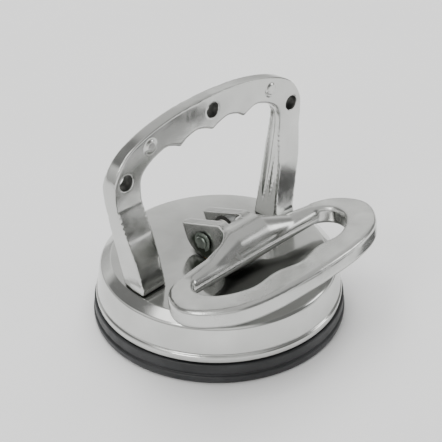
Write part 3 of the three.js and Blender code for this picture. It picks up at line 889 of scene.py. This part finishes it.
def make_clip(node):
    """Open retaining clip, its bore wider in three places between the lands."""
    centre = (0, PIN_Z)
    steps = 40
    start = math.degrees(0.5) - 90  # half of the opening, counted from straight down
    end = 180 - start
    outer = arc(centre, high(node).z - PIN_Z, start, end, steps)
    bore = []
    for i, p in enumerate(arc(centre, CLIP_BORE_R, end, start, steps)):
        wider = 1 + 0.22 * math.sin(i / steps * 3 * math.pi) ** 2
        bore.append(Vector(centre) + (p - Vector(centre)) * wider)
    bm = bmesh.new()
    plate_yz(bm, outer + bore, low(node).x, high(node).x, edge=0.15)
    finished(new_object("look_" + node, bm), node, "stud", MAT_GREASED)


def make_eye_washer(node):
    """Nylon washer beside the stud's eye."""
    x0, x1 = low(node).x, high(node).x
    outer = high(node).z - PIN_Z
    bore = WASHER_BORE_R
    profile = softened([(bore, x0), (outer, x0), (outer, x1), (bore, x1), (bore, x0)], 0.2)
    bm = bmesh.new()
    lathe(bm, profile[:-1], 64, ON_PIN)
    finished(new_object("look_" + node, bm), node, "stud", MAT_NYLON)


def make_spring():
    """Conical compression spring with closed ends, of round wire."""
    base, top = low("return_spring").z, high("return_spring").z
    steps = 240
    path = []
    for i in range(steps + 1):
        t = i / steps
        angle = 2 * math.pi * COIL_TURNS * t
        r = COIL_R[0] + (COIL_R[1] - COIL_R[0]) * t
        climb = min(max((t - COIL_FLAT) / (1 - 2 * COIL_FLAT), 0), 1)
        z = base + WIRE_R + climb * (top - base - 2 * WIRE_R)
        path.append(Vector((r * math.cos(angle), r * math.sin(angle), z)))
    bm = bmesh.new()
    rings = []
    for i, p in enumerate(path):
        way = (path[min(i + 1, steps)] - path[max(i - 1, 0)]).normalized()
        out = Vector((p.x, p.y, 0)).normalized()
        up = way.cross(out).normalized()
        ring = [p + (out * math.cos(a) + up * math.sin(a)) * WIRE_R for a in circle(16)]
        rings.append([bm.verts.new(q) for q in ring])
    tube(bm, rings)
    spring = new_object("look_return_spring", bm)
    finished(spring, "return_spring", "base", MAT_STEEL)
    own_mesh(spring)


def make_plain_turned():
    """Bush, insert plate, spring seat and washers: rings with broken edges."""
    bush_bore = STUD_BORE_R + 0.15
    z0, z1 = BUSH_Z
    turned_piece("stud_guide_bush", "base", MAT_BRONZE, [
        (bush_bore, z0), (BUSH_R, z0), (BUSH_R, z0 + 1.6), (BUSH_BODY_R, z0 + 1.6),
        (BUSH_BODY_R, z1 - 0.4), (BUSH_BODY_R - 0.4, z1), (bush_bore + 0.4, z1),
        (bush_bore, z1 - 0.4),
    ])
    z0, z1 = INSERT_Z
    turned_piece("pad_insert_plate", "stud", MAT_STEEL, [
        (0, z0), (INSERT_R, z0), (INSERT_R, PLATE_TOP - 0.5), (INSERT_R - 0.5, PLATE_TOP),
        (PLATE_BOSS_R + 0.5, PLATE_TOP), (PLATE_BOSS_R, PLATE_TOP + 0.5),
        (PLATE_BOSS_R, z1 - 0.5), (PLATE_BOSS_R - 0.5, z1), (STUD_BORE_R, z1),
        (STUD_BORE_R, z0 + 1), (0, z0 + 1),
    ])
    for node, bore in (("spring_seat", SEAT_BORE_R), ("stud_lock_washer", STUD_BORE_R + 0.1)):
        r, z0, z1 = high(node).x, low(node).z, high(node).z
        turned_piece(node, "stud", MAT_STEEL, [
            (bore, z0), (r, z0), (r, z1), (bore, z1),
        ])


def make_nut():
    """Thin hexagon nut, its corners turned down to a cone."""
    z0, z1 = low("stud_jam_nut").z, high("stud_jam_nut").z
    corner = NUT_FLATS / math.sqrt(3)
    bm = bmesh.new()
    plate_xy(bm, arc((0, 0), corner, 0, 300, 5), z0, z1)
    nut = new_object("look_stud_jam_nut", bm)
    bm = bmesh.new()
    bore = STUD_BORE_R + 0.05
    cone = [
        (bore, z0), (corner - 1, z0), (corner, z0 + 0.5), (corner, z1 - 0.5),
        (corner - 1, z1), (bore, z1),
    ]
    lathe(bm, cone, 96)
    boolean(nut, new_object("cone", bm), "INTERSECT")
    finished(nut, "stud_jam_nut", "stud", MAT_BLACK)


def make_screws():
    """One socket-head screw with its washer up into each leg."""
    for side, word in ((-1, "left"), (1, "right")):
        node = "handle_screw_" + word
        at = (side * SCREW_X, SCREW_Y)
        z0, z1 = low(node).z, high(node).z
        head_r = (high(node).x - low(node).x) / 2
        head_top = z0 + SCREW_HEAD_H
        screw = turned_piece(node, "base", MAT_BLACK, [
            (0, z0), (head_r - 0.4, z0), (head_r, z0 + 0.4), (head_r, head_top),
            (SCREW_R, head_top), (SCREW_R, z1 - 0.6), (SCREW_R - 0.6, z1), (0, z1),
        ], at, 64, 0.2)
        bm = bmesh.new()
        socket = arc((0, 0), SCREW_HEX / math.sqrt(3), 0, 300, 5)
        plate_xy(bm, [p + Vector(at) for p in socket], z0 - 3, z0 + SCREW_SOCKET)
        boolean(screw, new_object("socket", bm), "DIFFERENCE")
        shaded(screw)
        node = "screw_washer_" + word
        r, bore = (high(node).x - low(node).x) / 2, SCREW_WASHER_BORE_R
        z0, z1 = low(node).z, high(node).z
        turned_piece(node, "base", MAT_STEEL, [
            (bore, z0), (r, z0), (r, z1), (bore, z1),
        ], at, 64, 0.2)


make_pad()
make_body()
make_handle()
make_lever()
make_stud()
make_pin()
for word in ("left", "right"):
    make_clip("pin_clip_" + word)
    make_eye_washer("eye_washer_" + word)
make_spring()
make_plain_turned()
make_nut()
make_screws()


# ---------------------------------------------------------------- studio

CAMERA_PLACE = (-322.63, -326.25, 338.88)
CAMERA_WAY = (0.5948, 0.5979, -0.5373)
CAMERA_ROLL = math.radians(0.78)
CAMERA_LENS = 97.74


def make_floor():
    """Plain pale floor, wide enough to fill the view."""
    half = 2.5
    corners = [(-half, -half, 0), (half, -half, 0), (half, half, 0), (-half, half, 0)]
    mesh = bpy.data.meshes.new("floor")
    mesh.from_pydata(corners, [], [(0, 1, 2, 3)])
    floor = bpy.data.objects.new("floor", mesh)
    bpy.context.scene.collection.objects.link(floor)
    n = Nodes("pale_floor")
    n.feed("Base Color", n.ramp(n.noise(9, 2), [(0.3, 0.86), (0.7, 0.88)]))
    n.shader.inputs["Roughness"].default_value = 0.9
    n.shader.inputs["Specular IOR Level"].default_value = 0.1
    mesh.materials.append(n.material)


def area_light(name, place, size, power, mirrored_in_metal=True):
    """A square softbox turned towards the cup; place and size are in metres."""
    aim = (0, 0, 0.04)
    data = bpy.data.lights.new(name, "AREA")
    data.shape = "SQUARE"
    data.size = size
    data.energy = power
    light = bpy.data.objects.new(name, data)
    light.location = place
    light.rotation_euler = (Vector(aim) - Vector(place)).to_track_quat("-Z", "Y").to_euler()
    light.visible_glossy = mirrored_in_metal
    bpy.context.scene.collection.objects.link(light)


def make_world():
    """Soft studio surround: grey walls, three dark openings and a bright one overhead."""
    world = bpy.data.worlds.new("studio")
    world.use_nodes = True
    tree = world.node_tree
    where = tree.nodes.new("ShaderNodeTexCoord").outputs["Generated"]
    brightest = 3.0

    def grey(level):
        return (level / brightest, level / brightest, level / brightest * 0.985)

    split = tree.nodes.new("ShaderNodeSeparateXYZ")
    tree.links.new(where, split.inputs[0])
    walls = [
        (0.0, 0.55), (0.3, 0.95), (0.42, 1.35), (0.5, 1.0), (0.56, 0.85), (0.7, 0.75),
        (0.85, 0.75), (1.0, 0.7),
    ]
    light = add_ramp(tree, split.outputs["Z"], [(z, grey(level)) for z, level in walls])
    # Each opening has its direction, the cosines where it starts and is full, and its level
    for direction, outer, inner, level in (
        ((-0.3, 0.65, 0.68), 0.87, 0.94, 0.27),
        ((0.95, -0.1, 0.25), 0.9, 0.97, 0.3),
        ((0.35, -0.85, 0.4), 0.8, 0.92, 0.25),
        ((-0.38, 0.17, 0.91), 0.955, 0.985, 3.0),
    ):
        facing = tree.nodes.new("ShaderNodeVectorMath")
        facing.operation = "DOT_PRODUCT"
        facing.inputs[1].default_value = Vector(direction).normalized()
        tree.links.new(where, facing.inputs[0])
        mix = tree.nodes.new("ShaderNodeMix")
        mix.data_type = "RGBA"
        share = add_ramp(tree, facing.outputs["Value"], [(outer, 0.0), (inner, 1.0)])
        tree.links.new(share, mix.inputs["Factor"])
        tree.links.new(light, mix.inputs["A"])
        mix.inputs["B"].default_value = (*grey(level), 1)
        light = mix.outputs["Result"]
    tree.links.new(light, tree.nodes["Background"].inputs["Color"])
    tree.nodes["Background"].inputs["Strength"].default_value = brightest
    bpy.context.scene.world = world


def black_flag(name, corners):
    """A dark card beside the cup that only its reflections show."""
    mesh = bpy.data.meshes.new(name)
    mesh.from_pydata([Vector(c) * MM for c in corners], [], [(0, 1, 2, 3)])
    flag = bpy.data.objects.new(name, mesh)
    bpy.context.scene.collection.objects.link(flag)
    n = Nodes(name)
    n.feed("Base Color", n.ramp(n.noise(20, 2), [(0.3, 0.03), (0.7, 0.05)]))
    n.shader.inputs["Roughness"].default_value = 0.9
    mesh.materials.append(n.material)
    flag.visible_camera = False
    flag.visible_diffuse = False
    flag.visible_shadow = False


def make_camera():
    """View from the front left, about 33 degrees above the horizon."""
    data = bpy.data.cameras.new("camera")
    data.sensor_width = 36
    data.lens = CAMERA_LENS
    camera = bpy.data.objects.new("camera", data)
    turn = Vector(CAMERA_WAY).to_track_quat("-Z", "Y").to_matrix().to_4x4()
    turn = turn @ Matrix.Rotation(-CAMERA_ROLL, 4, "Z")
    camera.matrix_world = Matrix.Translation(Vector(CAMERA_PLACE) * MM) @ turn
    bpy.context.scene.collection.objects.link(camera)
    bpy.context.scene.camera = camera


make_floor()
make_world()
area_light("key", (-0.9, -0.2, 0.8), size=0.4, power=3)
area_light("fill", (0.9, -0.7, 0.5), size=0.4, power=1.5)
area_light("overhead", (0.3, 0.3, 1.5), size=1.4, power=24, mirrored_in_metal=False)
black_flag("flag_front", [(60, -130, 3), (135, -130, 3), (135, -215, 3), (60, -215, 3)])
black_flag("flag_side", [(85, -45, 3), (135, -45, 3), (135, -95, 3), (85, -95, 3)])
make_camera()
